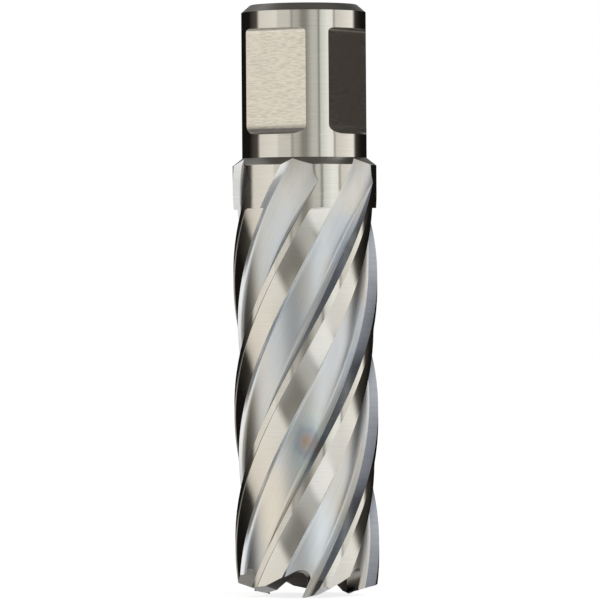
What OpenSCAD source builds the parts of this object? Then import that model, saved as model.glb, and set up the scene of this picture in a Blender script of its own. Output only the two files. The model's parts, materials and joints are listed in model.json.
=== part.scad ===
// Annular cutter with a plain 19.05 mm shank: one piece, turned, milled and ground from solid bar.
// It stands on its teeth, with the axis on Z and the lowest tooth tips at Z = 0.
// Turns are degrees about Z, counted anticlockwise from the front (-Y).

/* [Shank] */
// Diameter of the shank
shank_d = 19.05; // [16:0.05:20]
// Length of the shank above the shoulder
shank_len = 23.4; // [21:0.1:40]
// Height of the chamfer at the top of the shank
shank_chamfer = 1.15; // [0.4:0.05:2]
// How far the chamfer at the top of the shank goes in
shank_chamfer_in = 1.35; // [0.4:0.05:2]
// Diameter of the bore for the pilot pin
pilot_d = 6.4; // [4:0.1:9]

/* [Clamping flats] */
// Distance from the axis to each flat
flat_reach = 7.87; // [7:0.01:9]
// Length of each flat along the shank
flat_len = 16.1; // [8:0.1:17]
// Distance from the top of the shank to each flat
flat_from_top = 3.8; // [2.5:0.1:6]
// Radius where a flat runs out at its upper end
flat_upper_r = 0.6; // [0.2:0.1:2]
// Radius where a flat runs out at its lower end
flat_lower_r = 1.4; // [0.2:0.1:2]
// Turn of the first flat
flat_turn = -32.7; // [-180:0.1:180]
// Turn from the first flat to the second
flat_spacing = 90; // [80:1:180]

/* [Body] */
// Cutting diameter
cutter_d = 22; // [20.5:0.1:26]
// Length from the tooth tips to the edge of the shoulder
body_len = 65.65; // [45:0.05:90]
// Height of the chamfer from the shoulder to the shank
shoulder_h = 1.15; // [0.5:0.05:3]

/* [Core] */
// Diameter of the hollow that takes the slug
core_d = 14; // [11:0.1:15]
// Depth of the hollow above the tooth tips
core_depth = 54; // [30:0.5:56]

/* [Flutes] */
// Number of flutes and of teeth
flute_count = 6; // [4:1:8]
// Height of one full turn of the flutes
lead = 122; // [80:0.1:250]
// Turn of the first cutting edge at the tooth tips
edge_turn = 4.6; // [-180:0.1:180]
// Width of a land, from its cutting edge to its heel
land_w = 4.35; // [3:0.05:5]
// Depth of a flute at its rake wall
rake_depth = 2.1; // [1:0.05:2.5]
// Lean of the rake wall from the radius
rake_lean = 23.5; // [0:0.5:40]
// Reach of the round between a flute's floor and its rake wall
rake_round = 1.1; // [0.4:0.05:1.2]
// Depth of a flute at its heel wall
heel_depth = 1.26; // [0.8:0.02:1.8]
// Lean of the heel wall from the radius
heel_lean = 18.6; // [0:0.2:40]
// Lean of the heel wall at the shoulder, where the flute ends
heel_end_lean = 38; // [20:1:60]
// Length below the shoulder over which a flute's floor climbs the rake wall and runs out
runout_len = 16.4; // [8:0.1:20]
// How far above the body the floor would come at the edge of the shoulder
runout_rise = 0.84; // [0.1:0.02:0.9]

/* [Land relief] */
// Width of the margin along each cutting edge
margin_w = 0.96; // [0.4:0.02:1.6]
// Depth of the relief just behind the margin
relief_step = 0.12; // [0.06:0.02:0.3]
// Depth of the relief at the heel
relief_depth = 0.62; // [0.4:0.02:0.76]
// Length of the full-diameter neck below the shoulder
neck_len = 6.55; // [3:0.1:15]
// Radius at the upper corner of the relief
relief_corner_r = 0.6; // [0.2:0.05:1.5]

/* [Teeth] */
// Height of a tooth's outer corner above the lowest tips
corner_z = 1.65; // [0.8:0.05:2.2]
// Width of the bevel at the first tooth's outer corner
bevel_w = 0.7; // [0.3:0.05:1.5]
// Height at which that bevel begins
bevel_z = 0.52; // [0.2:0.02:0.8]
// Height of a high tooth's inner tip
high_tip_z = 0.56; // [0:0.02:0.8]
// Clearance behind a cutting edge, in degrees
clearance = 10.8; // [4:0.2:14]
// Turn from the outer corner of a tooth back to its face in the gullet
gullet_set = 9; // [7:0.5:14]
// Height of a gullet
gullet_h = 4.75; // [3.8:0.05:7]
// Radius at the top of a gullet
gullet_r = 1.85; // [1:0.05:2.4]
// Angle by which a gullet's roof falls towards the core at the tooth's back
gullet_fall = 8; // [0:1:20]
// Angle by which it falls beside the tooth's face
gullet_face_fall = 24; // [0:1:28]
// Slope of a tooth's back, from the gullet down to the clearance
back_slope = 38; // [28:1:45]

/* [Hidden] */

$fn = 128;
cutter_r = cutter_d / 2;
shank_r = shank_d / 2;
core_r = core_d / 2;
mid_r = (core_r + cutter_r) / 2;
shoulder_top = body_len + shoulder_h;
total_h = shoulder_top + shank_len;
pitch = 360 / flute_count;

// Cutters reach this far past the surface that they cut
over = 1;

// The round at the rake wall never gets smaller than this
least_round = 0.05;

// A tooth's ground end starts this much turn ahead of its face
tip_lap = 0.7;

// Width along the outside of the body, as a turn
function as_turn(width) = width / cutter_r * 180 / PI;
land_turn = as_turn(land_w);
margin_turn = as_turn(margin_w);

// Heights at which the flute changes
relief_top = body_len - neck_len;
runout_z = body_len - runout_len;
flute_top = shoulder_top + over;

// Steps along a flute, across its floor, round a small curve and along a tooth's back and end
helix_step = 2.4;
runout_step = 0.9;
floor_steps = 3;
curve_steps = 4;
back_steps = 5;
end_steps = 7;

steel = [0.74, 0.73, 0.70];

// A point on the body: radius, turn from the first cutting edge, height
function helix_turn(z) = edge_turn + 360 * z / lead;
function on_body(r, turn, z) =
    let (a = helix_turn(z) + turn - 90)
    [r * cos(a), r * sin(a), z];

// Smooth change from 0 to 1 as t goes from 0 to 1
function ease(t) = let (c = max(0, min(1, t))) c * c * (3 - 2 * c);

// Radius and turn of a point beside an edge on the outside of the body
function beside_edge(edge, across, depth) =
    [norm([across, cutter_r - depth]), edge + atan2(across, cutter_r - depth)];

// Heights from one level to another in equal steps, without the last
function levels(from, to, step) =
    let (n = ceil((to - from) / step))
    [for (i = [0 : n - 1]) from + (to - from) * i / n];

// Two triangles for each four-cornered face, split between its second and fourth corners
function split(quads) = [for (q = quads, t = [[q[0], q[1], q[3]], [q[1], q[2], q[3]]]) t];

// Solid through closed rings, each clockwise seen from its far end and in sight of its first point
module sweep(rings) {
    n = len(rings[0]);
    last = len(rings) - 1;
    sides = [
        for (k = [0 : last - 1], i = [0 : n - 1])
            [k * n + i, k * n + (i + 1) % n, (k + 1) * n + (i + 1) % n, (k + 1) * n + i]
    ];
    first_cap = [for (i = [1 : n - 2]) [0, i + 1, i]];
    last_cap = [for (i = [1 : n - 2]) [last * n, last * n + i, last * n + i + 1]];
    polyhedron(
        points = [for (ring = rings, p = ring) p],
        faces = concat(split(sides), first_cap, last_cap),
        convexity = 10
    );
}

// Block on the body below a surface height(radius, turn), down to the level floor_z
module block_below(radii, turns, floor_z, height) {
    m = len(radii);
    n = len(turns);
    lower = m * n;
    top = [for (r = radii, t = turns) on_body(r, t, height(r, t))];
    bottom = [for (r = radii, t = turns) on_body(r, t, floor_z)];
    cells = [for (i = [0 : m - 2], j = [0 : n - 2]) let (c = i * n + j) [c, c + 1, c + n + 1, c + n]];
    rim = concat(
        [for (j = [0 : n - 2]) j],
        [for (i = [0 : m - 2]) i * n + n - 1],
        [for (j = [n - 1 : -1 : 1]) (m - 1) * n + j],
        [for (i = [m - 1 : -1 : 1]) i * n]
    );
    polyhedron(
        points = concat(top, bottom),
        faces = split(concat(
            cells,
            [for (c = cells) [lower + c[0], lower + c[3], lower + c[2], lower + c[1]]],
            [
                for (k = [0 : len(rim) - 1])
                    let (a = rim[k], b = rim[(k + 1) % len(rim)])
                    [a, lower + a, lower + b, b]
            ]
        )),
        convexity = 10
    );
}

// Turned blank: body, shoulder chamfer and shank
module blank() {
    rotate_extrude()
        polygon([
            [0, 0],
            [cutter_r, 0],
            [cutter_r, body_len],
            [shank_r, shoulder_top],
            [shank_r, total_h - shank_chamfer],
            [shank_r - shank_chamfer_in, total_h],
            [0, total_h],
        ]);
}

// Bore for the pilot pin and hollow for the slug
module bores() {
    translate([0, 0, -over])
        cylinder(d = core_d, h = core_depth + over);
    cylinder(d = pilot_d, h = total_h + over);
}

// One clamping flat, cut by a tool that leaves a radius at each end
module flat_cut() {
    upper = total_h - flat_from_top;
    lower = upper - flat_len;
    out = shank_r + over;
    lower_end = [
        for (i = [0 : curve_steps])
            let (a = 270 - 90 * i / curve_steps)
            [flat_reach + flat_lower_r * (1 + cos(a)), lower + flat_lower_r * (1 + sin(a))]
    ];
    upper_end = [
        for (i = [0 : curve_steps])
            let (a = 180 - 90 * i / curve_steps)
            [flat_reach + flat_upper_r * (1 + cos(a)), upper - flat_upper_r * (1 - sin(a))]
    ];
    rotate([90, 0, 0])
        linear_extrude(height = 2 * shank_r, center = true)
            polygon(concat([[out, lower]], lower_end, upper_end, [[out, upper]]));
}

module flat_cuts() {
    for (turn = [flat_turn, flat_turn + flat_spacing])
        rotate([0, 0, turn - 90])
            flat_cut();
}

// Section of the flute ahead of the first cutting edge: radii and turns from heel to rake.
// Where the flute runs out, its floor climbs the rake wall in a curve, and its heel wall leans over.
function flute_section(z) =
    let (
        heel_edge = land_turn - pitch,
        rise = (rake_depth + runout_rise) * pow(max(0, z - runout_z) / runout_len, 2),
        lean = heel_lean + (heel_end_lean - heel_lean) * ease((z - relief_top) / neck_len),
        heel_out = beside_edge(heel_edge, -over * tan(lean), -over),
        heel_foot = beside_edge(heel_edge, heel_depth * tan(lean), heel_depth),
        foot_depth = rake_depth - rise,
        rake_foot = beside_edge(0, -foot_depth * tan(rake_lean), foot_depth),
        rake_out = beside_edge(0, 2 * over * tan(rake_lean), -2 * over),
        reach = max(least_round, min(rake_round, foot_depth / 2)),
        wall_depth = foot_depth - reach,
        round_out = beside_edge(0, -wall_depth * tan(rake_lean), wall_depth),
        round_in = rake_foot + (heel_foot - rake_foot) * as_turn(reach) / (rake_foot[1] - heel_foot[1]),
        round_mid = (round_in + 2 * rake_foot + round_out) / 4,
        crest = [cutter_r * 1.4, (heel_out[1] + rake_out[1]) / 2]
    )
    concat(
        [crest, heel_out],
        [for (i = [0 : floor_steps]) heel_foot + (round_in - heel_foot) * i / floor_steps],
        [round_mid, round_out, rake_out]
    );

module flute_cut() {
    heights = concat(
        levels(-over, runout_z, helix_step),
        levels(runout_z, flute_top, runout_step),
        [flute_top]
    );
    sweep([for (z = heights) [for (p = flute_section(z)) on_body(p[0], p[1], z)]]);
}

// Section of the relief behind the first margin: a small step, then a flat that falls to the heel.
// Its upper corner is rounded.
function relief_section(z) =
    let (
        into_corner = max(0, z - (relief_top - relief_corner_r)),
        corner = relief_corner_r - sqrt(max(0, pow(relief_corner_r, 2) - pow(into_corner, 2))),
        start = margin_turn + as_turn(corner),
        first_foot = margin_turn + as_turn(relief_step),
        foot = start + as_turn(relief_step),
        heel = land_turn + as_turn(over / 2),
        fall = (relief_depth - relief_step) / (heel - first_foot)
    )
    [
        [cutter_r + over, start],
        [cutter_r - relief_step - fall * (foot - first_foot), foot],
        [cutter_r - relief_depth, heel],
        [cutter_r + over, heel],
    ];

module relief_cut() {
    corner_z0 = relief_top - relief_corner_r;
    heights = concat(
        levels(-1.5 * over, corner_z0, helix_step),
        [
            for (i = [0 : curve_steps])
                corner_z0 + relief_corner_r * sin(90 * i / curve_steps)
        ]
    );
    sweep([for (z = heights) [for (p = relief_section(z)) on_body(p[0], p[1], z)]]);
}

// Gullet ahead of the first tooth, through the wall: a face along the flute, a round top
// and the sloped back of the tooth before it
module gullet_cut() {
    deg_per_mm = 180 / PI / mid_r;
    center_z = gullet_h - gullet_r;
    center = -gullet_set - gullet_r * deg_per_mm;
    arc_turns = 90 + back_slope;
    arc = [
        for (i = [0 : 2 * curve_steps])
            let (a = arc_turns * i / (2 * curve_steps))
            [center + gullet_r * cos(a) * deg_per_mm, center_z + gullet_r * sin(a)]
    ];
    arc_end = arc[len(arc) - 1];
    back_drop = arc_end[1] + over / 2;
    back_run = back_drop / tan(back_slope) * deg_per_mm;
    back = [for (i = [1 : back_steps]) arc_end - [back_run, back_drop] * i / back_steps];
    outline = concat(arc, back);
    profile = [for (i = [len(outline) - 1 : -1 : 0]) outline[i]];
    turns = [for (p = profile) p[0]];
    falls = [[arc_end[0], tan(gullet_fall)], [arc[0][0], tan(gullet_face_fall)]];
    block_below(
        [core_r - over, cutter_r + over],
        turns,
        -2 * over,
        function (r, turn) lookup(turn, profile) - (cutter_r - r) * lookup(turn, falls)
    );
}

// Ground end of one tooth: its edge climbs to where a bevel begins and then to the outer corner,
// with clearance behind it
module end_cut(tip_z, bevel_start_z) {
    inner_r = core_r - over;
    outer_r = cutter_r + over;
    bevel_r = cutter_r - bevel_w;
    inner_slope = (bevel_start_z - tip_z) / (bevel_r - core_r);
    outer_slope = (corner_z - bevel_start_z) / bevel_w;
    edge = [
        [inner_r, tip_z - inner_slope * over],
        [bevel_r, bevel_start_z],
        [outer_r, corner_z + outer_slope * over],
    ];
    setback_per_mm = gullet_set / (cutter_r - core_r);
    rise_per_turn = tan(clearance) * mid_r * PI / 180;
    first_turn = -gullet_set - tip_lap;
    last_turn = first_turn + pitch - 2 * tip_lap;
    block_below(
        [inner_r, bevel_r, outer_r],
        [for (i = [0 : end_steps]) first_turn + (last_turn - first_turn) * i / end_steps],
        -2 * over,
        function (r, turn) lookup(r, edge) + rise_per_turn * (turn + setback_per_mm * (cutter_r - r))
    );
}

// Height of a plain tooth's straight edge, where a bevel would begin
function plain_z(tip_z) = corner_z - (corner_z - tip_z) * bevel_w / (cutter_r - core_r);

// Low and high teeth take turns round the end, and the first one has a bevel
module end_cuts() {
    for (i = [0 : flute_count - 1]) {
        tip_z = i % 2 == 0 ? 0 : high_tip_z;
        rotate([0, 0, pitch * i])
            end_cut(tip_z, i == 0 ? bevel_z : plain_z(tip_z));
    }
}

module around() {
    for (i = [0 : flute_count - 1])
        rotate([0, 0, pitch * i])
            children();
}

module bored_blank() {
    difference() {
        blank();
        bores();
        flat_cuts();
    }
}

module fluted_blank() {
    difference() {
        difference() {
            bored_blank();
            around() flute_cut();
        }
        around() relief_cut();
    }
}

module cutter() {
    color(steel)
        difference() {
            difference() {
                fluted_blank();
                around() gullet_cut();
            }
            end_cuts();
        }
}

cutter();
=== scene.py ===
"""Looks of the annular cutter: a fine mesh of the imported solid, its steels, a small studio and a camera."""

import cmath
import json
import math

import bmesh
import bpy
import numpy as np
from mathutils import Euler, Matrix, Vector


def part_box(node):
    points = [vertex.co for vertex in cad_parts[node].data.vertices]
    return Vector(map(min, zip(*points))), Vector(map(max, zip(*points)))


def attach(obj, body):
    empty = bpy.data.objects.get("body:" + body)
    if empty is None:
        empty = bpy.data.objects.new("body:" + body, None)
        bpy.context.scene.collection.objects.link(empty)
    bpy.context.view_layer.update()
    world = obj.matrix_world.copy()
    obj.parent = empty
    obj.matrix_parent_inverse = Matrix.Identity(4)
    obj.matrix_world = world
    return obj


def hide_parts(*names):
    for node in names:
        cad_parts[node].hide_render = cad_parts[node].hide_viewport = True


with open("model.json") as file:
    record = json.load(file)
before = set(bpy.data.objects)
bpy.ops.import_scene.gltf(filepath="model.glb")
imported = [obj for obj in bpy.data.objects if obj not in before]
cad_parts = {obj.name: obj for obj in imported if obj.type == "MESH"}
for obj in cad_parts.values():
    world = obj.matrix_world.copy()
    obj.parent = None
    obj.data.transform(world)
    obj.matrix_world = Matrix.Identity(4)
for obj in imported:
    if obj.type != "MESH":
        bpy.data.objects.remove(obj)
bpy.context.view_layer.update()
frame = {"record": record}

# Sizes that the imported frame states, in millimetres
MM = 0.001
mount_r = {m["name"]: m["dims"].get("r_mm") for m in frame["record"]["mounts"]}
node_low, node_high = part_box("cutter")
TOTAL_H = node_high[2] / MM
CUTTER_R = (node_high[0] - node_low[0]) / 2 / MM
SHANK_R = mount_r["shank"]
PILOT_R = mount_r["pilot_bore"]
CORE_R = mount_r["slug_hollow"]

# Shank and its clamping flats
SHANK_LEN = 23.4
SHANK_CHAMFER = 1.15
SHANK_CHAMFER_IN = 1.35
FLAT_REACH = 7.87
FLAT_LEN = 16.1
FLAT_FROM_TOP = 3.8
FLAT_UPPER_R = 0.6
FLAT_LOWER_R = 1.4
FLAT_TURNS = (-32.7, 57.3)

# Body, shoulder and core
SHOULDER_H = 1.15
SHOULDER_TOP = TOTAL_H - SHANK_LEN
BODY_LEN = SHOULDER_TOP - SHOULDER_H
CORE_DEPTH = 54

# Flutes and lands
FLUTES = 6
PITCH = 360 / FLUTES
LEAD = 122
EDGE_TURN = 4.6
LAND_W = 4.35
RAKE_DEPTH = 2.1
RAKE_LEAN = 23.5
HEEL_DEPTH = 1.26
HEEL_LEAN = 18.6
HEEL_END_LEAN = 38
RUNOUT_LEN = 16.4
RUNOUT_RISE = 0.84
MARGIN_W = 0.96
RELIEF_STEP = 0.12
RELIEF_DEPTH = 0.62
NECK_LEN = 6.55
RELIEF_CORNER_R = 0.6
RELIEF_TOP = BODY_LEN - NECK_LEN
RUNOUT_Z = BODY_LEN - RUNOUT_LEN

# Teeth and gullets
CORNER_Z = 1.65
BEVEL_W = 0.7
BEVEL_Z = 0.52
HIGH_TIP_Z = 0.56
CLEARANCE = 10.8
GULLET_SET = 9
GULLET_H = 4.75
GULLET_R = 1.85
GULLET_FALL = 8
GULLET_FACE_FALL = 24
BACK_SLOPE = 38
MID_R = (CORE_R + CUTTER_R) / 2

# Small rounds that a grinding wheel leaves at the feet of a flute's walls
RAKE_ROUND = 1.1
HEEL_ROUND = 0.3

# A round takes at most one part in this many of the rake wall, the heel wall and the floor
RAKE_PARTS = 2
HEEL_PARTS = 3
FLOOR_PARTS = 6

# The relief is set out to a point this far past the land, and swells this much before the heel
RELIEF_PAST = 0.5
RELIEF_CROWN = 0.07

# Walls are drawn from this far outside the body and then cut off at it
OUTSIDE = 1

# Steps of the mesh: segments across each strip of a tooth, from one gullet face to the next
FLOOR_AHEAD, RAKE_CURVE, RAKE_WALL, MARGIN, STEP = 4, 12, 5, 5, 1
RELIEF_FRONT, RELIEF_BACK, HEEL_LIP, HEEL_WALL, HEEL_CURVE, FLOOR = 8, 6, 1, 4, 4, 18

# Rows beside the gullets, rings of a tooth's end, rows of the core and rings of its roof
FACE_ROWS, GULLET_ROWS, BEVEL_RINGS, END_RINGS, CORE_ROWS, ROOF_RINGS = 5, 7, 2, 6, 12, 4

# Even rows start this far above the gullets
ABOVE_GULLET = 0.7

# Heights of a row on the body and the neck, and rows of the relief's corner and the shoulder
BODY_STEP = 0.6
NECK_STEP = 0.35
CORNER_STEPS = 6
SHOULDER_ROWS = 14

# Columns round the shank, the height of a row on it, rows of its flats and bore, rings of its end
FLAT_COLUMNS, BETWEEN_COLUMNS, BACK_COLUMNS = 20, 16, 84
SHANK_STEP = 0.8
FLAT_ROWS, BORE_ROWS, END_FACE_RINGS = 25, 12, 5

# Halvings that find the crease of a tooth, which lies at least this turn before the next gullet face
BISECTIONS = 40
CREASE_BEFORE = 20

# A length too small to divide by, and a turn too small to tell columns apart
TINY = 1e-6
TURN_SLACK = 0.01

# In metres, points this close are joined and edges this short are taken out; in degrees, a sharp edge
JOIN_DISTANCE = 2e-7
LEAST_EDGE = 1e-7
SHARP_ANGLE = 24

# Kinds of surface, in the order of the mesh's materials
KINDS = (
    "ground", "land", "floor", "heel", "rake", "tooth_end",
    "gullet", "bore", "flat", "chamfer", "end",
)
KIND = {name: i for i, name in enumerate(KINDS)}

# The step from margin to relief takes the chamfer's darkened colour, which is painted shade
STRIPS = (
    ("floor", FLOOR_AHEAD), ("floor", RAKE_CURVE), ("rake", RAKE_WALL), ("ground", MARGIN), ("chamfer", STEP),
    ("land", RELIEF_FRONT + RELIEF_BACK), ("heel", HEEL_LIP), ("heel", HEEL_WALL), ("floor", HEEL_CURVE),
    ("floor", FLOOR),
)
COLUMN_KINDS = [KIND[name] for name, count in STRIPS for _ in range(count)]


def ease(t):
    """Smooth change from 0 to 1 as t goes from 0 to 1."""
    c = min(1, max(0, t))
    return c * c * (3 - 2 * c)


def tan(degrees):
    """Tangent of an angle in degrees."""
    return math.tan(math.radians(degrees))


def as_turn(width):
    """Width along the outside of the body, as a turn."""
    return math.degrees(width / CUTTER_R)


def polar(r, turn):
    """Point of a section at a radius and a turn."""
    return cmath.rect(r, math.radians(turn))


def turn_of(p):
    """Turn of a point of a section."""
    return math.degrees(cmath.phase(p))


def beside_edge(edge, across, depth):
    """Point of a section beside an edge on the outside of the body."""
    return polar(1, edge) * complex(CUTTER_R - depth, across)


def mix(a, b, t):
    """What lies a share t of the way from a to b."""
    return a + (b - a) * t


def on_circle(a, b, r):
    """Where the line from a to b crosses the circle of radius r, nearest to a."""
    d = b - a
    qa = abs(d) ** 2
    qb = 2 * (a.real * d.real + a.imag * d.imag)
    qc = abs(a) ** 2 - r * r
    root = math.sqrt(max(0, qb * qb - 4 * qa * qc))
    return mix(a, b, (-qb - root) / (2 * qa))


def crossing(a, b, c, d):
    """Where the line through a and b crosses the line through c and d."""
    u, v, w = b - a, d - c, c - a
    across = (w.conjugate() * v).imag / (u.conjugate() * v).imag
    return mix(a, b, across)


def spaced(a, b, count):
    """Points from a towards b in equal steps, without the last."""
    return [mix(a, b, i / count) for i in range(count)]


def curve(a, corner, b, count):
    """Points of a round from a to b about a corner, without the last."""
    return [mix(mix(a, corner, i / count), mix(corner, b, i / count), i / count) for i in range(count)]


def arc(r, start, end, count):
    """Points of an arc in equal steps, without the last."""
    return [polar(r, t) for t in spaced(start, end, count)]


LAND_TURN = as_turn(LAND_W)
MARGIN_TURN = as_turn(MARGIN_W)
FLOOR_R = CUTTER_R - RELIEF_DEPTH


def gullet_height(r, turn):
    """Height of the gullet behind a tooth, seen from that tooth's edge."""
    x = math.radians(turn - PITCH + GULLET_SET) * MID_R + GULLET_R
    x_end = -GULLET_R * math.sin(math.radians(BACK_SLOPE))
    on_arc = max(x_end, min(GULLET_R, x))
    z = GULLET_H - GULLET_R + math.sqrt(max(0, GULLET_R ** 2 - on_arc ** 2))
    beside_face = min(1, max(0, (x - x_end) / (GULLET_R - x_end)))
    fall = mix(tan(GULLET_FALL), tan(GULLET_FACE_FALL), beside_face)
    return z + min(0, x - x_end) * tan(BACK_SLOPE) - (CUTTER_R - r) * fall


def tooth_edge(index):
    """Heights of a tooth's inner tip and of the start of a bevel, which only the first tooth has."""
    tip = 0 if index % 2 == 0 else HIGH_TIP_Z
    plain = CORNER_Z - (CORNER_Z - tip) * BEVEL_W / (CUTTER_R - CORE_R)
    return tip, BEVEL_Z if index == 0 else plain


def end_height(r, turn, tooth):
    """Height of a tooth's ground end."""
    bevel_r = CUTTER_R - BEVEL_W
    tip, start = tooth
    inner = tip + (start - tip) * (r - CORE_R) / (bevel_r - CORE_R)
    outer = start + (CORNER_Z - start) * (r - bevel_r) / BEVEL_W
    setback = GULLET_SET * (CUTTER_R - r) / (CUTTER_R - CORE_R)
    rise = tan(CLEARANCE) * math.radians(turn + setback) * MID_R
    return (inner if r < bevel_r else outer) + rise


def bottom(r, turn, tooth):
    """Height at which a tooth stops: its ground end, or the gullet behind it."""
    end = end_height(r, turn, tooth) if turn < PITCH - 2 * GULLET_SET else 0
    return max(end, gullet_height(r, turn), node_low[2] / MM)


def crease_turn(r, tooth):
    """Turn at which a tooth's ground end meets the sloped back."""
    ahead, behind = 0, PITCH - GULLET_SET - CREASE_BEFORE
    for _ in range(BISECTIONS):
        half = (ahead + behind) / 2
        if gullet_height(r, half) < end_height(r, half, tooth):
            ahead = half
        else:
            behind = half
    return ahead


def section(z, relieved, tooth):
    """One tooth's section at a height, from its gullet face round to the next one."""
    outer_r = min(CUTTER_R, SHANK_R + (CUTTER_R - SHANK_R) * (SHOULDER_TOP - z) / SHOULDER_H)
    rise = (RAKE_DEPTH + RUNOUT_RISE) * (max(0, z - RUNOUT_Z) / RUNOUT_LEN) ** 2
    lean = mix(HEEL_LEAN, HEEL_END_LEAN, ease((z - RELIEF_TOP) / NECK_LEN))
    heel_out = beside_edge(LAND_TURN, -OUTSIDE * tan(lean), -OUTSIDE)
    heel_foot = beside_edge(LAND_TURN, HEEL_DEPTH * tan(lean), HEEL_DEPTH)
    foot_depth = RAKE_DEPTH - rise
    rake_foot = beside_edge(0, -foot_depth * tan(RAKE_LEAN), foot_depth)
    rake_out = beside_edge(0, OUTSIDE * tan(RAKE_LEAN), -OUTSIDE)

    # Floor of the flute, which ends at the outside where it runs out
    foot_r, foot_turn = abs(heel_foot), turn_of(heel_foot)
    next_r, next_turn = abs(rake_foot), turn_of(rake_foot) + PITCH
    closed = foot_r >= outer_r
    share = 1
    if closed:
        share = 0
    elif next_r > outer_r:
        share = min(1, (outer_r - foot_r) / (next_r - foot_r))

    def floor(f, lap=0):
        """Point a share f of the way over the floor, turned back by lap."""
        r = outer_r if closed else mix(foot_r, next_r, f * share)
        return polar(r, mix(foot_turn, next_turn, f * share) - lap)

    base_foot = beside_edge(LAND_TURN, HEEL_DEPTH * tan(HEEL_LEAN), HEEL_DEPTH)
    base_next = turn_of(beside_edge(0, -RAKE_DEPTH * tan(RAKE_LEAN), RAKE_DEPTH)) + PITCH
    gullet_at = (PITCH - GULLET_SET - turn_of(base_foot)) / (base_next - turn_of(base_foot))
    floor_len = max(TINY, abs(floor(1) - floor(0)))

    corner = floor(1, PITCH)
    edge = on_circle(rake_out, rake_foot, outer_r) if next_r < outer_r else corner
    wall_len = abs(edge - corner)
    rake_round = min(RAKE_ROUND, wall_len / RAKE_PARTS, floor_len / FLOOR_PARTS)
    rake_start = floor(1 - rake_round / floor_len, PITCH)
    rake_end = mix(corner, edge, rake_round / wall_len) if wall_len > TINY else corner

    heel_top = polar(outer_r, foot_turn) if closed else on_circle(heel_out, heel_foot, outer_r)
    foot = floor(0)

    # Land: a margin, then the relief or the plain neck
    into_corner = min(RELIEF_CORNER_R, max(0, z - (RELIEF_TOP - RELIEF_CORNER_R)))
    widened = RELIEF_CORNER_R - math.sqrt(RELIEF_CORNER_R ** 2 - into_corner ** 2)
    start = MARGIN_TURN + as_turn(widened)
    first_foot = MARGIN_TURN + as_turn(RELIEF_STEP)
    relief_end = polar(FLOOR_R, LAND_TURN + as_turn(RELIEF_PAST))
    foot_share = as_turn(widened) / (turn_of(relief_end) - first_foot)
    step_foot = polar(mix(CUTTER_R - RELIEF_STEP, FLOOR_R, foot_share), start + as_turn(RELIEF_STEP))
    step_top = on_circle(polar(CUTTER_R + OUTSIDE, start), step_foot, CUTTER_R)
    base_out = beside_edge(LAND_TURN, -OUTSIDE * tan(HEEL_LEAN), -OUTSIDE)
    relief_heel = crossing(step_foot, relief_end, base_out, base_foot)
    crease = crease_turn(FLOOR_R, tooth)
    crease_at = crossing(step_foot, relief_heel, 0j, polar(1, crease))
    land_corner = beside_edge(LAND_TURN, 0, 0)
    lip_share = abs(relief_heel - land_corner) / abs(base_foot - land_corner)
    if relieved:
        land = arc(outer_r, turn_of(edge), turn_of(step_top), MARGIN)
        land += spaced(step_top, step_foot, STEP)
        crease_share = abs(crease_at - step_foot) / abs(relief_heel - step_foot)
        shares = spaced(0, crease_share, RELIEF_FRONT) + spaced(crease_share, 1, RELIEF_BACK)
        # The swell is full halfway, where 4 s (1 - s) is 1
        out = polar(4 * RELIEF_CROWN, crease)
        land += [mix(step_foot, relief_heel, s) + out * s * (1 - s) for s in shares]
        heel_top = relief_heel
        lip = relief_heel
    else:
        turns = [turn_of(step_top), turn_of(step_foot), turn_of(crease_at), turn_of(heel_top)]
        lip = mix(heel_top, foot, lip_share)
        land = arc(outer_r, turn_of(edge), turns[0], MARGIN)
        land += arc(outer_r, turns[0], turns[1], STEP)
        land += arc(outer_r, turns[1], turns[2], RELIEF_FRONT)
        land += arc(outer_r, turns[2], turns[3], RELIEF_BACK)

    lower_len = abs(foot - lip)
    heel_round = min(HEEL_ROUND, lower_len / HEEL_PARTS, floor_len / FLOOR_PARTS)
    heel_end = mix(foot, lip, heel_round / lower_len) if lower_len > TINY else foot
    curve_at = heel_round / floor_len
    sweep = [math.sin(math.pi / 2 * i / FLOOR) for i in range(FLOOR)]

    points = [floor(f, PITCH) for f in spaced(gullet_at, 1 - rake_round / floor_len, FLOOR_AHEAD)]
    points += curve(rake_start, corner, rake_end, RAKE_CURVE)
    points += spaced(rake_end, edge, RAKE_WALL)
    points += land
    points += spaced(heel_top, lip, HEEL_LIP)
    points += spaced(lip, heel_end, HEEL_WALL)
    points += curve(heel_end, foot, floor(curve_at), HEEL_CURVE)
    points += [floor(mix(curve_at, gullet_at, s)) for s in sweep]
    points.append(floor(gullet_at))
    return np.array(points)


def place(points, turn, z):
    """Points of a section in the frame, in metres, each turned along the helix for its height."""
    z = np.broadcast_to(np.asarray(z, float), points.shape)
    helix = np.radians(EDGE_TURN + 360 * z / LEAD + turn - 90)
    p = points * np.exp(1j * helix)
    return np.stack([p.real, p.imag, z], axis=-1) * MM


class Surface:
    """Vertices and four-cornered faces, gathered grid by grid."""

    def __init__(self):
        self.points, self.faces, self.kinds, self.across = [], [], [], []
        self.count = 0

    def grid(self, rows, kinds, across=None, flip=False):
        """A grid of points, rows by columns, with a kind of surface for each column of faces."""
        rows = np.asarray(rows)
        n, m = rows.shape[:2]
        index = self.count + np.arange(n * m).reshape(n, m)
        a, b, c, d = index[:-1, :-1], index[:-1, 1:], index[1:, 1:], index[1:, :-1]
        corners = (d, c, b, a) if flip else (a, b, c, d)
        self.faces.append(np.stack(corners, axis=-1).reshape(-1, 4))
        self.kinds.append(np.broadcast_to(np.asarray(kinds), (n - 1, m - 1)).reshape(-1))
        self.points.append(rows.reshape(-1, 3))
        values = np.zeros(m) if across is None else np.asarray(across)
        self.across.append(np.broadcast_to(values, (n, m)).reshape(-1))
        self.count += n * m


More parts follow.
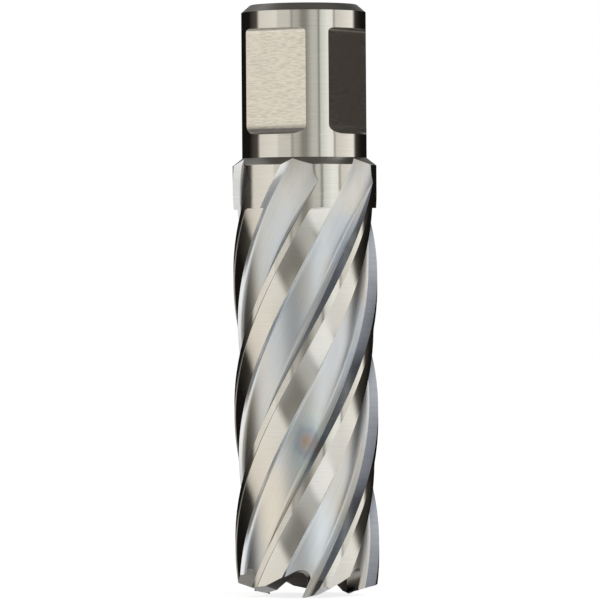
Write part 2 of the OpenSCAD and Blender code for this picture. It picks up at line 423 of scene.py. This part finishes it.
def levels(start, end, step):
    """Heights in equal steps no larger than step, without the last."""
    n = math.ceil((end - start) / step)
    return [mix(start, end, i / n) for i in range(n)]


def column_turns(points, tooth):
    """Turns of the columns at each radius, so that the crease between end and back stays in one column."""
    turns = np.degrees(np.angle(points))
    turns[0], turns[-1] = -GULLET_SET, PITCH - GULLET_SET
    outer = crease_turn(FLOOR_R, tooth)

    def at(r):
        """Turns of the columns where their radii are r."""
        start, end = -GULLET_SET, PITCH - GULLET_SET
        return np.array([
            np.interp(t, [start, outer, end], [start, crease_turn(q, tooth), end])
            for t, q in zip(turns, r)
        ])

    return turns, at


def add_tooth(surface, index):
    """One tooth with its flute: walls up to the shank, ground end, gullet face and its share of the core."""
    tooth = tooth_edge(index)
    turn = PITCH * index
    gullet_top = GULLET_H + ABOVE_GULLET
    base = section(gullet_top, True, tooth)
    radii = np.abs(base)
    turns, turns_at = column_turns(base, tooth)
    across = np.radians(turns) * CUTTER_R

    # Rows beside the gullets follow the end of the tooth
    face_z = GULLET_H - GULLET_R - (CUTTER_R - radii) * tan(GULLET_FACE_FALL)
    end_z = np.array([bottom(r, t, tooth) for r, t in zip(radii, turns)])
    mid_z = np.maximum(end_z, face_z)
    rows = [place(base, turn, mix(end_z, mid_z, i / FACE_ROWS)) for i in range(FACE_ROWS)]
    rows += [place(base, turn, mix(mid_z, gullet_top, i / GULLET_ROWS)) for i in range(GULLET_ROWS)]

    # Relieved body, its rounded upper corner, the neck, the run-out and the shoulder
    corner_z = RELIEF_TOP - RELIEF_CORNER_R
    quarter = [math.pi / 2 * i / CORNER_STEPS for i in range(CORNER_STEPS + 1)]
    relieved_z = levels(gullet_top, corner_z, BODY_STEP)
    relieved_z += [corner_z + RELIEF_CORNER_R * math.sin(a) for a in quarter]
    plain_z = levels(RELIEF_TOP, BODY_LEN, NECK_STEP)
    plain_z += levels(BODY_LEN, SHOULDER_TOP, SHOULDER_H / SHOULDER_ROWS)
    for z in relieved_z:
        rows.append(place(section(z, True, tooth), turn, z))
    for z in plain_z:
        rows.append(place(section(z, False, tooth), turn, z))
    rows.append(place(section(SHOULDER_TOP, False, tooth), turn, SHOULDER_TOP))
    kinds = np.tile(COLUMN_KINDS, (len(rows) - 1, 1))
    first_shoulder = len(rows) - 1 - SHOULDER_ROWS
    lands = np.isin(COLUMN_KINDS, [KIND["land"], KIND["chamfer"]])
    first_neck = FACE_ROWS + GULLET_ROWS + len(relieved_z)
    kinds[first_neck:, lands] = KIND["ground"]
    outside = np.isin(COLUMN_KINDS, [KIND["land"], KIND["ground"]])
    kinds[first_shoulder:, outside] = KIND["chamfer"]
    surface.grid(rows, kinds, across)

    # Ground end and sloped back, from the outside in to the core
    rings = []
    bevel_r = np.minimum(radii, CUTTER_R - BEVEL_W)
    ring_radii = [mix(radii, bevel_r, i / BEVEL_RINGS) for i in range(BEVEL_RINGS)]
    ring_radii += [mix(bevel_r, CORE_R, i / END_RINGS) for i in range(END_RINGS + 1)]
    for r in ring_radii:
        t = turns if not rings else turns_at(r)
        z = np.array([bottom(q, s, tooth) for q, s in zip(r, t)])
        rings.append((r, t, z))
    end_rows = [place(r * np.exp(1j * np.radians(t)), turn, z) for r, t, z in rings]
    behind = turns[:-1] > crease_turn(FLOOR_R, tooth) - TURN_SLACK
    end_kinds = np.where(behind, KIND["gullet"], KIND["tooth_end"])
    surface.grid(end_rows, end_kinds, across, flip=True)

    # Face of the gullet ahead of the tooth
    face_r = np.array([r[0] for r, t, z in rings])
    foot_z = np.array([z[0] for r, t, z in rings])
    top_z = GULLET_H - GULLET_R - (CUTTER_R - face_r) * tan(GULLET_FACE_FALL)
    edge = polar(1, -GULLET_SET) * face_r
    face = [place(edge, turn, mix(foot_z, top_z, i / FACE_ROWS)) for i in range(FACE_ROWS + 1)]
    surface.grid(face, KIND["rake"], flip=True)

    # Wall of the core above the tooth
    r, t, z = rings[-1]
    core = r * np.exp(1j * np.radians(t))
    core_face_z = GULLET_H - GULLET_R - (CUTTER_R - CORE_R) * tan(GULLET_FACE_FALL)
    core_mid = np.maximum(z, core_face_z)
    core_rows = [place(core, turn, mix(z, core_mid, i / FACE_ROWS)) for i in range(FACE_ROWS)]
    core_rows += [place(core, turn, mix(core_mid, CORE_DEPTH, i / CORE_ROWS)) for i in range(CORE_ROWS + 1)]
    surface.grid(core_rows, KIND["bore"], flip=True)

    # Roof of the core, in to the pilot bore
    roof_radii = np.linspace(CORE_R, PILOT_R, ROOF_RINGS)
    roof = [place(core * (r_to / CORE_R), turn, CORE_DEPTH) for r_to in roof_radii]
    surface.grid(roof, KIND["bore"], flip=True)


def shank_row(reach, z):
    """The shank's section where both flats are that far from the axis."""
    half = math.degrees(math.acos(reach / SHANK_R))
    first, second = FLAT_TURNS
    arcs = (
        (first - half, first + half, FLAT_COLUMNS, True),
        (first + half, second - half, BETWEEN_COLUMNS, False),
        (second - half, second + half, FLAT_COLUMNS, True),
        (second + half, first + 360 - half, BACK_COLUMNS, False),
    )
    points = []
    for start, end, count, is_flat in arcs:
        if is_flat:
            points += spaced(polar(SHANK_R, start), polar(SHANK_R, end), count)
        else:
            points += arc(SHANK_R, start, end, count)
    points.append(points[0])
    p = np.array(points) * -1j
    return np.stack([p.real, p.imag, np.full(len(points), z)], axis=-1) * MM


def shank_narrow(reach, z):
    """A round row whose columns meet the ends of the flats."""
    row = shank_row(reach, z)
    length = np.linalg.norm(row[:, :2], axis=1, keepdims=True)
    row[:, :2] *= SHANK_R * MM / length
    return row


def scaled(row, r, z):
    """A copy of a row of the shank at another radius and height."""
    out = np.array(row)
    out[:, :2] *= r / SHANK_R
    out[:, 2] = z * MM
    return out


def add_shank(surface):
    """Shank with its two flats, chamfer, end face and the pilot bore."""
    upper = TOTAL_H - FLAT_FROM_TOP
    lower = upper - FLAT_LEN
    quarter = [math.radians(90 * i / CORNER_STEPS) for i in range(CORNER_STEPS + 1)]
    profile = []
    for a in quarter:
        reach = FLAT_REACH + FLAT_LOWER_R * (1 - math.sin(a))
        profile.append((reach, lower + FLAT_LOWER_R * (1 - math.cos(a))))
    for i in range(1, FLAT_ROWS):
        profile.append((FLAT_REACH, mix(lower + FLAT_LOWER_R, upper - FLAT_UPPER_R, i / FLAT_ROWS)))
    for a in quarter:
        reach = FLAT_REACH + FLAT_UPPER_R * (1 - math.cos(a))
        profile.append((reach, upper - FLAT_UPPER_R * (1 - math.sin(a))))
    lower_reach, upper_reach = profile[0][0], profile[-1][0]
    flat = [True] * FLAT_COLUMNS
    flat_columns = np.array(flat + [False] * BETWEEN_COLUMNS + flat + [False] * BACK_COLUMNS)

    below = [shank_narrow(lower_reach, z) for z in levels(SHOULDER_TOP, lower, SHANK_STEP) + [lower]]
    surface.grid(below, KIND["ground"])
    flats = [below[-1]]
    flats += [shank_row(reach, z) for reach, z in profile]
    flats.append(shank_narrow(upper_reach, upper))
    surface.grid(flats, np.where(flat_columns, KIND["flat"], KIND["ground"]))
    chamfer_z = TOTAL_H - SHANK_CHAMFER
    above = [shank_narrow(upper_reach, z) for z in levels(upper, chamfer_z, SHANK_STEP) + [chamfer_z]]
    surface.grid(above, KIND["ground"])

    end_r = SHANK_R - SHANK_CHAMFER_IN
    chamfer = [scaled(above[-1], mix(SHANK_R, end_r, t), mix(chamfer_z, TOTAL_H, t)) for t in (0, 0.5, 1)]
    surface.grid(chamfer, KIND["chamfer"])
    end = [scaled(above[-1], r, TOTAL_H) for r in np.linspace(end_r, PILOT_R, END_FACE_RINGS)]
    surface.grid(end, KIND["end"])
    bore = [scaled(above[-1], PILOT_R, z) for z in np.linspace(TOTAL_H, CORE_DEPTH, BORE_ROWS)]
    surface.grid(bore, KIND["bore"])


def build_cutter():
    """The whole cutter as one mesh, joined where its grids meet."""
    surface = Surface()
    for i in range(FLUTES):
        add_tooth(surface, i)
    add_shank(surface)
    mesh = bpy.data.meshes.new("cutter_steel")
    faces = np.concatenate(surface.faces)
    mesh.from_pydata(np.concatenate(surface.points).tolist(), [], faces.tolist())
    mesh.polygons.foreach_set("material_index", np.concatenate(surface.kinds).astype(np.int32))
    across = mesh.attributes.new("across", "FLOAT", "CORNER")
    values = np.concatenate(surface.across)[faces].reshape(-1)
    across.data.foreach_set("value", values.astype(np.float32))
    joined = bmesh.new()
    joined.from_mesh(mesh)
    bmesh.ops.remove_doubles(joined, verts=joined.verts, dist=JOIN_DISTANCE)
    bmesh.ops.dissolve_degenerate(joined, edges=joined.edges, dist=LEAST_EDGE)
    joined.to_mesh(mesh)
    joined.free()
    mesh.polygons.foreach_set("use_smooth", np.ones(len(mesh.polygons), bool))
    mesh.set_sharp_from_angle(angle=math.radians(SHARP_ANGLE))
    mesh.update()
    return bpy.data.objects.new("cutter_body", mesh)


# Colour and roughness of each kind of surface, some darkened as painted shade
LOOKS = {
    "ground": ((0.82, 0.80, 0.76), 0.12),
    "land": ((0.82, 0.80, 0.75), 0.14),
    "floor": ((0.72, 0.74, 0.76), 0.36),
    "heel": ((0.88, 0.88, 0.87), 0.2),
    # The rake walls' colour is darkened: painted shade on the walls at the front of each flute
    "rake": ((0.30, 0.315, 0.34), 0.18),
    "tooth_end": ((0.6, 0.6, 0.6), 0.3),
    # The sloped backs behind the teeth are darkened: painted shade in the gullets
    "gullet": ((0.30, 0.285, 0.26), 0.3),
    # The hollow core, its roof and the pilot bore are nearly black: painted shade inside the cutter
    "bore": ((0.12, 0.11, 0.10), 0.5),
    "flat": ((0.90, 0.86, 0.78), 0.2),
    # The chamfers and the margin's step are darkened: painted shade that dims their reflections
    "chamfer": ((0.42, 0.40, 0.37), 0.3),
    "end": ((0.72, 0.70, 0.66), 0.4),
}

# Grain of the kinds that have one, and the part of a full turn from the way round to the grain
GRAIN = {"ground": 0.8, "land": 0.7, "flat": 0.8, "end": 0.7}
GRAIN_TURN = 0.25

# Marks for each metre across X, Y and Z, how strongly they stand out and how much they darken
MARKS = {
    "ground": ((250, 250, 7000), 0.1, 0.06),
    "land": ((300, 300, 8000), 0.07, 0.05),
    "flat": ((800, 800, 5000), 0.25, 0.22),
    "heel": ((300, 300, 2500), 0.06, 0.06),
    "rake": ((300, 300, 2500), 0.06, 0.10),
    "tooth_end": ((3500, 3500, 800), 0.1, 0.12),
    "gullet": ((2500, 2500, 1200), 0.1, 0.15),
    "bore": ((400, 400, 4000), 0.1, 0.15),
    "chamfer": ((250, 250, 7000), 0.1, 0.10),
    "end": ((900, 900, 900), 0.06, 0.08),
}
MARK_DEPTH = 0.02
MARK_DETAIL = 2

# Heights of a mark between which its colour goes from dark to plain
MARK_LOW = 0.30
MARK_HIGH = 0.60

# Lines along the flutes: for each millimetre across, for each metre along, bump and darkening
POLISH = (4.0, 150, 0.05, 0.06)

# Heat tints of the flutes and pale spots of painted highlight: noise for each metre across X, Y and Z, and
# how far a spot's edge wanders
TINT_SCALE = (110, 110, 45)
TINT_DETAIL = 3
SPOT_SCALE = (420, 420, 260)
SPOT_WANDER = 0.6
CLOUDS = (
    (0.30, (0.66, 0.73, 0.80)),
    (0.42, (0.81, 0.84, 0.87)),
    (0.50, (0.80, 0.81, 0.80)),
    (0.58, (0.84, 0.80, 0.73)),
    (0.70, (0.75, 0.81, 0.81)),
)
SPOT_COVER = ((0.0, (1, 1, 1)), (0.55, (0.9, 0.9, 0.9)), (1.0, (0, 0, 0)))
SPOT_COLORS = (
    (0.10, (0.62, 0.48, 0.40)),
    (0.32, (0.60, 0.55, 0.55)),
    (0.52, (0.52, 0.58, 0.66)),
    (0.80, (0.70, 0.79, 0.78)),
)
HALO_COLORS = (
    (0.10, (0.66, 0.74, 0.78)),
    (0.50, (0.78, 0.85, 0.84)),
    (0.90, (0.88, 0.87, 0.80)),
)
# Near-white blue: a painted highlight
PAINTED_BLUE_HIGHLIGHT = (
    (0.10, (0.90, 0.95, 0.99)),
    (0.90, (0.86, 0.90, 0.92)),
)
SLATE_COLORS = (
    (0.10, (0.68, 0.74, 0.80)),
    (0.90, (0.76, 0.80, 0.84)),
)
STRAW_COLORS = (
    (0.10, (0.95, 0.90, 0.80)),
    (0.90, (0.90, 0.87, 0.80)),
)
# Near-white: a painted highlight
PAINTED_PALE_HIGHLIGHT = (
    (0.10, (0.94, 0.94, 0.90)),
    (0.90, (0.88, 0.88, 0.86)),
)

# Middle and reach of each spot, in millimetres, and its colours from the middle out; the blue and pale spots
# are painted highlights, the others heat tint
SPOTS = (
    ((2.0, -9.0, 9.5), (3.4, 4, 8), PAINTED_BLUE_HIGHLIGHT),
    ((-4.6, -8.0, 14.0), (4, 4, 10), STRAW_COLORS),
    ((-4.4, -8.4, 46.0), (5, 4, 16), SLATE_COLORS),
    ((5.8, -7.4, 54.0), (3, 4, 7), SLATE_COLORS),
    ((3.0, -8.6, 62.6), (9, 5, 5), PAINTED_PALE_HIGHLIGHT),
    ((-1.0, -9.2, 22.0), (2.8, 4, 5.0), HALO_COLORS),
    ((0.8, -9.2, 26.0), (2.4, 4, 3.6), HALO_COLORS),
    ((-0.1, -9.2, 23.8), (3.0, 4, 4.0), SPOT_COLORS),
)


def set_stops(node, stops):
    """Gives a colour ramp its stops, each a position and a colour."""
    elements = node.color_ramp.elements
    while len(elements) < len(stops):
        elements.new(0.5)
    for element, (position, color) in zip(elements, stops):
        element.position = position
        element.color = (*color, 1)


def camera_sees(tree, seen, otherwise, output):
    """Shows one shader to the camera and another to every other ray."""
    path = tree.nodes.new("ShaderNodeLightPath")
    choice = tree.nodes.new("ShaderNodeMixShader")
    tree.links.new(path.outputs["Is Camera Ray"], choice.inputs["Fac"])
    tree.links.new(otherwise, choice.inputs[1])
    tree.links.new(seen, choice.inputs[2])
    tree.links.new(choice.outputs[0], tree.nodes[output].inputs["Surface"])


class Steel:
    """One bright steel: a metal shader with its grain, marks and tints."""

    def __init__(self, name, color, roughness):
        self.material = bpy.data.materials.new(name)
        self.material.use_nodes = True
        self.nodes, self.links = self.material.node_tree.nodes, self.material.node_tree.links
        self.shader = self.nodes["Principled BSDF"]
        self.shader.inputs["Base Color"].default_value = (*color, 1)
        self.shader.inputs["Metallic"].default_value = 1
        self.shader.inputs["Roughness"].default_value = roughness
        self.color = color
        self.where = self.nodes.new("ShaderNodeTexCoord").outputs["Object"]

    def math(self, operation, first, second):
        """Two sockets or numbers put together."""
        node = self.nodes.new("ShaderNodeMath")
        node.operation = operation
        for socket, value in zip(node.inputs, (first, second)):
            if isinstance(value, (int, float)):
                socket.default_value = value
            else:
                self.links.new(value, socket)
        return node.outputs[0]

    def scaled(self, vector, scale):
        """A vector times a scale for each axis."""
        node = self.nodes.new("ShaderNodeVectorMath")
        node.operation = "MULTIPLY"
        node.inputs[1].default_value = scale
        self.links.new(vector, node.inputs[0])
        return node.outputs[0]

    def noise(self, vector, detail):
        """Soft noise from 0 to 1."""
        node = self.nodes.new("ShaderNodeTexNoise")
        node.inputs["Scale"].default_value = 1
        node.inputs["Detail"].default_value = detail
        self.links.new(vector, node.inputs["Vector"])
        return node.outputs["Fac"]

    def grain(self, amount):
        """Grinding round the axis, which draws reflections out along it."""
        around = self.nodes.new("ShaderNodeTangent")
        around.direction_type = "RADIAL"
        around.axis = "Z"
        self.links.new(around.outputs[0], self.shader.inputs["Tangent"])
        self.shader.inputs["Anisotropic"].default_value = amount
        self.shader.inputs["Anisotropic Rotation"].default_value = GRAIN_TURN

    def marks(self, per_metre, strength, darkening):
        """Fine marks of a wheel or a cutter, as a small bump and a darker line in each."""
        height = self.noise(self.scaled(self.where, per_metre), MARK_DETAIL)
        self.bump(height, strength)
        dark = [c * (1 - darkening) for c in self.color]
        color = self.ramp(height, ((MARK_LOW, dark), (MARK_HIGH, self.color)))
        self.links.new(color, self.shader.inputs["Base Color"])

    def bump(self, height, strength):
        """Lets a height tilt the surface."""
        node = self.nodes.new("ShaderNodeBump")
        node.inputs["Strength"].default_value = strength
        node.inputs["Distance"].default_value = MARK_DEPTH * MM
        self.links.new(height, node.inputs["Height"])
        self.links.new(node.outputs[0], self.shader.inputs["Normal"])

    def polish(self, across, along, strength, darkening):
        """Fine lines along the flutes, as a small bump, and how light they leave the colour."""
        flute = self.nodes.new("ShaderNodeAttribute")
        flute.attribute_name = "across"
        parts = self.nodes.new("ShaderNodeSeparateXYZ")
        self.links.new(self.where, parts.inputs[0])
        lines = self.nodes.new("ShaderNodeCombineXYZ")
        self.links.new(self.math("MULTIPLY", flute.outputs["Fac"], across), lines.inputs["X"])
        self.links.new(self.math("MULTIPLY", parts.outputs["Z"], along), lines.inputs["Y"])
        self.links.new(self.math("MULTIPLY", parts.outputs["X"], along), lines.inputs["Z"])
        height = self.noise(lines.outputs[0], MARK_DETAIL)
        self.bump(height, strength)
        dark = 1 - darkening
        return self.ramp(height, ((MARK_LOW, (dark, dark, dark)), (MARK_HIGH, (1, 1, 1))))

    def ramp(self, value, stops):
        """Colour of a value between stops."""
        node = self.nodes.new("ShaderNodeValToRGB")
        set_stops(node, stops)
        self.links.new(value, node.inputs[0])
        return node.outputs[0]

    def blend(self, first, second, factor=None, mode="MIX"):
        """Two colours put together, in full where there is no factor."""
        node = self.nodes.new("ShaderNodeMix")
        node.data_type = "RGBA"
        node.blend_type = mode
        if factor is None:
            node.inputs["Factor"].default_value = 1
        else:
            self.links.new(factor, node.inputs["Factor"])
        self.links.new(first, node.inputs["A"])
        self.links.new(second, node.inputs["B"])
        return node.outputs["Result"]

    def tints_and_painted_highlights(self, clouds, spots):
        """Clouds of colour left by heat, a few small spots of stronger heat tint, and near-white spots that
        are painted highlights.
        """
        color = self.ramp(self.noise(self.scaled(self.where, TINT_SCALE), TINT_DETAIL), clouds)
        for middle, reach, stops in spots:
            offset = self.nodes.new("ShaderNodeVectorMath")
            offset.operation = "SUBTRACT"
            offset.inputs[1].default_value = [c * MM for c in middle]
            self.links.new(self.where, offset.inputs[0])
            length = self.nodes.new("ShaderNodeVectorMath")
            length.operation = "LENGTH"
            self.links.new(self.scaled(offset.outputs[0], [1 / (r * MM) for r in reach]), length.inputs[0])
            uneven = self.noise(self.scaled(self.where, SPOT_SCALE), TINT_DETAIL)
            wander = self.math("SUBTRACT", self.math("MULTIPLY", uneven, SPOT_WANDER), SPOT_WANDER / 2)
            near = self.math("ADD", length.outputs["Value"], wander)
            tint = self.ramp(near, stops)
            cover = self.ramp(near, SPOT_COVER)
            color = self.blend(color, tint, cover)
        color = self.blend(color, self.polish(*POLISH), mode="MULTIPLY")
        self.links.new(color, self.shader.inputs["Base Color"])


cutter = build_cutter()
bpy.context.scene.collection.objects.link(cutter)

for kind in KINDS:
    look = Steel("steel_" + kind, *LOOKS[kind])
    if kind in GRAIN:
        look.grain(GRAIN[kind])
    if kind in MARKS:
        look.marks(*MARKS[kind])
    if kind == "floor":
        look.tints_and_painted_highlights(CLOUDS, SPOTS)
    cutter.data.materials.append(look.material)
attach(cutter, "root")
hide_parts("cutter")


# Light that makes the paper white to the camera, over what the studio sheds on it
FLOOR_GLOW = 0.8
FLOOR_SIZE = 4
PAPER = (0.8, 0.8, 0.8)


def build_floor():
    """Pale paper under the object, which keeps its shadow."""
    bpy.ops.mesh.primitive_plane_add(size=FLOOR_SIZE, location=(0, 0, 0))
    floor = bpy.context.active_object
    floor.name = "floor"
    material = bpy.data.materials.new("paper")
    material.use_nodes = True
    nodes, links = material.node_tree.nodes, material.node_tree.links
    shader = nodes["Principled BSDF"]
    shader.inputs["Base Color"].default_value = (*PAPER, 1)
    shader.inputs["Roughness"].default_value = 1
    glow = nodes.new("ShaderNodeEmission")
    glow.inputs["Strength"].default_value = FLOOR_GLOW
    white = nodes.new("ShaderNodeAddShader")
    links.new(shader.outputs[0], white.inputs[0])
    links.new(glow.outputs[0], white.inputs[1])
    camera_sees(material.node_tree, white.outputs[0], shader.outputs[0], "Material Output")
    floor.data.materials.append(material)
    floor.visible_glossy = False


# What stands round the object, by azimuth from the camera's side, positive to the right:
# panels about level with the object, the table, its pale apron and the deep floor below them,
# and the ceiling, the roof and the zenith above
PANELS = (
    (-180, (0.30, 0.29, 0.28)),
    (-172, (0.009, 0.008, 0.007)),
    (-122, (0.009, 0.008, 0.007)),
    (-97, (0.09, 0.08, 0.07)),
    (-90, (0.78, 0.75, 0.69)),
    (-52, (0.86, 0.84, 0.77)),
    (-49, (0.69, 0.67, 0.61)),
    (-26, (0.67, 0.65, 0.60)),
    (-22, (0.30, 0.28, 0.25)),
    (-19, (0.54, 0.52, 0.47)),
    (-11, (0.48, 0.46, 0.42)),
    (-3, (0.26, 0.25, 0.22)),
    (4, (0.28, 0.27, 0.24)),
    (15, (0.58, 0.57, 0.52)),
    (24, (0.60, 0.60, 0.55)),
    (28, (0.20, 0.20, 0.18)),
    (31, (0.68, 0.69, 0.64)),
    (45, (0.94, 0.95, 0.90)),
    (55, (0.94, 0.94, 0.88)),
    (58, (0.24, 0.22, 0.20)),
    (61, (0.72, 0.69, 0.63)),
    (102, (0.98, 0.95, 0.89)),
    (109, (0.06, 0.05, 0.044)),
    (122, (0.018, 0.015, 0.013)),
    (136, (0.009, 0.008, 0.007)),
    (172, (0.009, 0.008, 0.007)),
    (180, (0.30, 0.29, 0.28)),
)
TABLE = (
    (-180, (0.40, 0.39, 0.37)),
    (-166, (0.009, 0.008, 0.007)),
    (-118, (0.009, 0.008, 0.007)),
    (-94, (0.02, 0.018, 0.016)),
    (-86, (0.60, 0.56, 0.50)),
    (-78, (0.80, 0.75, 0.68)),
    (-60, (0.86, 0.82, 0.75)),
    (-26, (0.84, 0.82, 0.78)),
    (-19, (0.19, 0.185, 0.165)),
    (5, (0.21, 0.205, 0.185)),
    (14, (0.42, 0.42, 0.40)),
    (27, (0.52, 0.53, 0.52)),
    (33, (0.92, 0.93, 0.93)),
    (54, (0.97, 0.98, 0.98)),
    (62, (0.78, 0.78, 0.77)),
    (80, (0.80, 0.79, 0.77)),
    (98, (0.92, 0.91, 0.88)),
    (104, (0.85, 0.84, 0.80)),
    (112, (0.12, 0.11, 0.10)),
    (120, (0.04, 0.036, 0.032)),
    (146, (0.04, 0.036, 0.032)),
    (172, (0.04, 0.036, 0.032)),
    (180, (0.40, 0.39, 0.37)),
)
APRON = (
    (-180, (0.38, 0.38, 0.38)),
    (-165, (0.55, 0.54, 0.52)),
    (-120, (0.72, 0.71, 0.69)),
    (-105, (0.50, 0.48, 0.45)),
    (-92, (0.55, 0.53, 0.50)),
    (-75, (0.88, 0.87, 0.85)),
    (-30, (1.0, 1.0, 1.0)),
    (-8, (0.90, 0.91, 0.92)),
    (6, (0.66, 0.67, 0.68)),
    (40, (0.60, 0.61, 0.62)),
    (58, (0.66, 0.67, 0.68)),
    (68, (0.95, 0.95, 0.95)),
    (112, (0.95, 0.95, 0.95)),
    (124, (0.05, 0.045, 0.04)),
    (172, (0.05, 0.045, 0.04)),
    (180, (0.38, 0.38, 0.38)),
)
CEILING = (
    (-180, (0.34, 0.34, 0.34)),
    (-164, (0.30, 0.30, 0.30)),
    (-150, (0.15, 0.15, 0.16)),
    (-88, (0.15, 0.15, 0.15)),
    (-80, (0.46, 0.44, 0.40)),
    (-58, (0.46, 0.44, 0.40)),
    (-48, (0.20, 0.20, 0.21)),
    (-30, (0.32, 0.33, 0.35)),
    (-15, (0.37, 0.38, 0.40)),
    (15, (0.36, 0.37, 0.39)),
    (45, (0.38, 0.39, 0.41)),
    (75, (0.44, 0.45, 0.47)),
    (98, (0.50, 0.51, 0.53)),
    (108, (0.50, 0.50, 0.51)),
    (118, (0.05, 0.047, 0.043)),
    (154, (0.05, 0.047, 0.043)),
    (166, (0.30, 0.30, 0.30)),
    (180, (0.34, 0.34, 0.34)),
)
ROOF = (
    (-180, (0.50, 0.50, 0.50)),
    (-125, (0.45, 0.45, 0.45)),
    (-110, (0.14, 0.14, 0.15)),
    (-45, (0.14, 0.14, 0.15)),
    (-30, (0.42, 0.43, 0.45)),
    (-15, (0.66, 0.67, 0.69)),
    (15, (0.80, 0.81, 0.83)),
    (45, (0.98, 0.99, 1.0)),
    (64, (1.3, 1.3, 1.3)),
    (98, (1.5, 1.5, 1.5)),
    (108, (0.60, 0.60, 0.61)),
    (118, (0.05, 0.047, 0.043)),
    (150, (0.05, 0.047, 0.043)),
    (162, (0.50, 0.50, 0.50)),
    (180, (0.50, 0.50, 0.50)),
)
DEEP = (
    (-180, (0.80, 0.80, 0.80)),
    (-150, (0.60, 0.60, 0.60)),
    (-125, (0.30, 0.29, 0.28)),
    (-100, (0.35, 0.34, 0.33)),
    (-78, (0.70, 0.69, 0.68)),
    (-48, (0.95, 0.95, 0.95)),
    (-12, (1.0, 1.0, 1.0)),
    (4, (0.90, 0.90, 0.90)),
    (18, (0.35, 0.35, 0.34)),
    (26, (0.10, 0.095, 0.09)),
    (46, (0.10, 0.095, 0.09)),
    (58, (1.0, 1.0, 1.0)),
    (104, (1.0, 1.0, 1.0)),
    (120, (0.30, 0.29, 0.28)),
    (146, (0.06, 0.055, 0.05)),
    (165, (0.30, 0.30, 0.30)),
    (180, (0.80, 0.80, 0.80)),
)
ZENITH = (0.16, 0.155, 0.145)

# Sines of the elevations between which one gives way to the next
DEEP_EDGE = (-0.68, -0.58)
APRON_EDGE = (-0.36, -0.26)
TABLE_EDGE = (-0.11, -0.05)
CEILING_EDGE = (0.08, 0.36)
ROOF_EDGE = (0.52, 0.64)
ZENITH_EDGE = (0.75, 0.89)


def build_world():
    """The studio as the steel mirrors it, and plain white to the camera."""
    world = bpy.data.worlds.new("studio")
    bpy.context.scene.world = world
    world.use_nodes = True
    nodes, links = world.node_tree.nodes, world.node_tree.links
    where = nodes.new("ShaderNodeTexCoord")
    parts = nodes.new("ShaderNodeSeparateXYZ")
    links.new(where.outputs["Generated"], parts.inputs[0])
    toward = nodes.new("ShaderNodeMath")
    toward.operation = "MULTIPLY"
    toward.inputs[1].default_value = -1
    links.new(parts.outputs["Y"], toward.inputs[0])
    azimuth = nodes.new("ShaderNodeMath")
    azimuth.operation = "ARCTAN2"
    links.new(parts.outputs["X"], azimuth.inputs[0])
    links.new(toward.outputs[0], azimuth.inputs[1])
    share = nodes.new("ShaderNodeMapRange")
    share.inputs["From Min"].default_value = -math.pi
    share.inputs["From Max"].default_value = math.pi
    links.new(azimuth.outputs[0], share.inputs["Value"])

    def round_about(colors):
        """Colours by azimuth."""
        ramp = nodes.new("ShaderNodeValToRGB")
        set_stops(ramp, [((degrees + 180) / 360, color) for degrees, color in colors])
        links.new(share.outputs[0], ramp.inputs[0])
        return ramp.outputs[0]

    def above(lower, upper, edge):
        """Gives way from one colour to another, or to a plain one, over an edge."""
        height = nodes.new("ShaderNodeMapRange")
        height.interpolation_type = "SMOOTHSTEP"
        height.inputs["From Min"].default_value = edge[0]
        height.inputs["From Max"].default_value = edge[1]
        links.new(parts.outputs["Z"], height.inputs["Value"])
        blend = nodes.new("ShaderNodeMix")
        blend.data_type = "RGBA"
        links.new(height.outputs[0], blend.inputs["Factor"])
        links.new(lower, blend.inputs["A"])
        if isinstance(upper, tuple):
            blend.inputs["B"].default_value = (*upper, 1)
        else:
            links.new(upper, blend.inputs["B"])
        return blend.outputs["Result"]

    room = above(round_about(DEEP), round_about(APRON), DEEP_EDGE)
    room = above(room, round_about(TABLE), APRON_EDGE)
    room = above(room, round_about(PANELS), TABLE_EDGE)
    room = above(room, round_about(CEILING), CEILING_EDGE)
    room = above(room, round_about(ROOF), ROOF_EDGE)
    room = above(room, ZENITH, ZENITH_EDGE)
    shine = nodes["Background"]
    links.new(room, shine.inputs["Color"])
    white = nodes.new("ShaderNodeBackground")
    white.inputs["Color"].default_value = (1, 1, 1, 1)
    camera_sees(world.node_tree, white.outputs[0], shine.outputs[0], "World Output")


# The photo's camera: level, with its frame as wide as VIEW_W at the axis
PIXELS = 600
PIXELS_PER_MM = 6.541
CAMERA_DISTANCE = 800
AXIS_RIGHT_PX = 5.5
BASE_BELOW_PX = 295.4
ROLL = 0.0074
VIEW_W = PIXELS / PIXELS_PER_MM
SENSOR_W = 36
CLIP_START = 0.01
CLIP_END = 20


def build_camera():
    """The camera, where the photo's stood."""
    data = bpy.data.cameras.new("camera")
    camera = bpy.data.objects.new("camera", data)
    bpy.context.scene.collection.objects.link(camera)
    data.sensor_width = SENSOR_W
    data.lens = data.sensor_width * CAMERA_DISTANCE / VIEW_W
    data.clip_start = CLIP_START
    data.clip_end = CLIP_END
    across = -AXIS_RIGHT_PX / PIXELS_PER_MM
    camera.location = (across * MM, -CAMERA_DISTANCE * MM, BASE_BELOW_PX / PIXELS_PER_MM * MM)
    camera.rotation_euler = Euler((math.pi / 2, ROLL, 0))
    bpy.context.scene.camera = camera


build_floor()
build_world()
build_camera()
bpy.context.scene.view_settings.view_transform = "Standard"
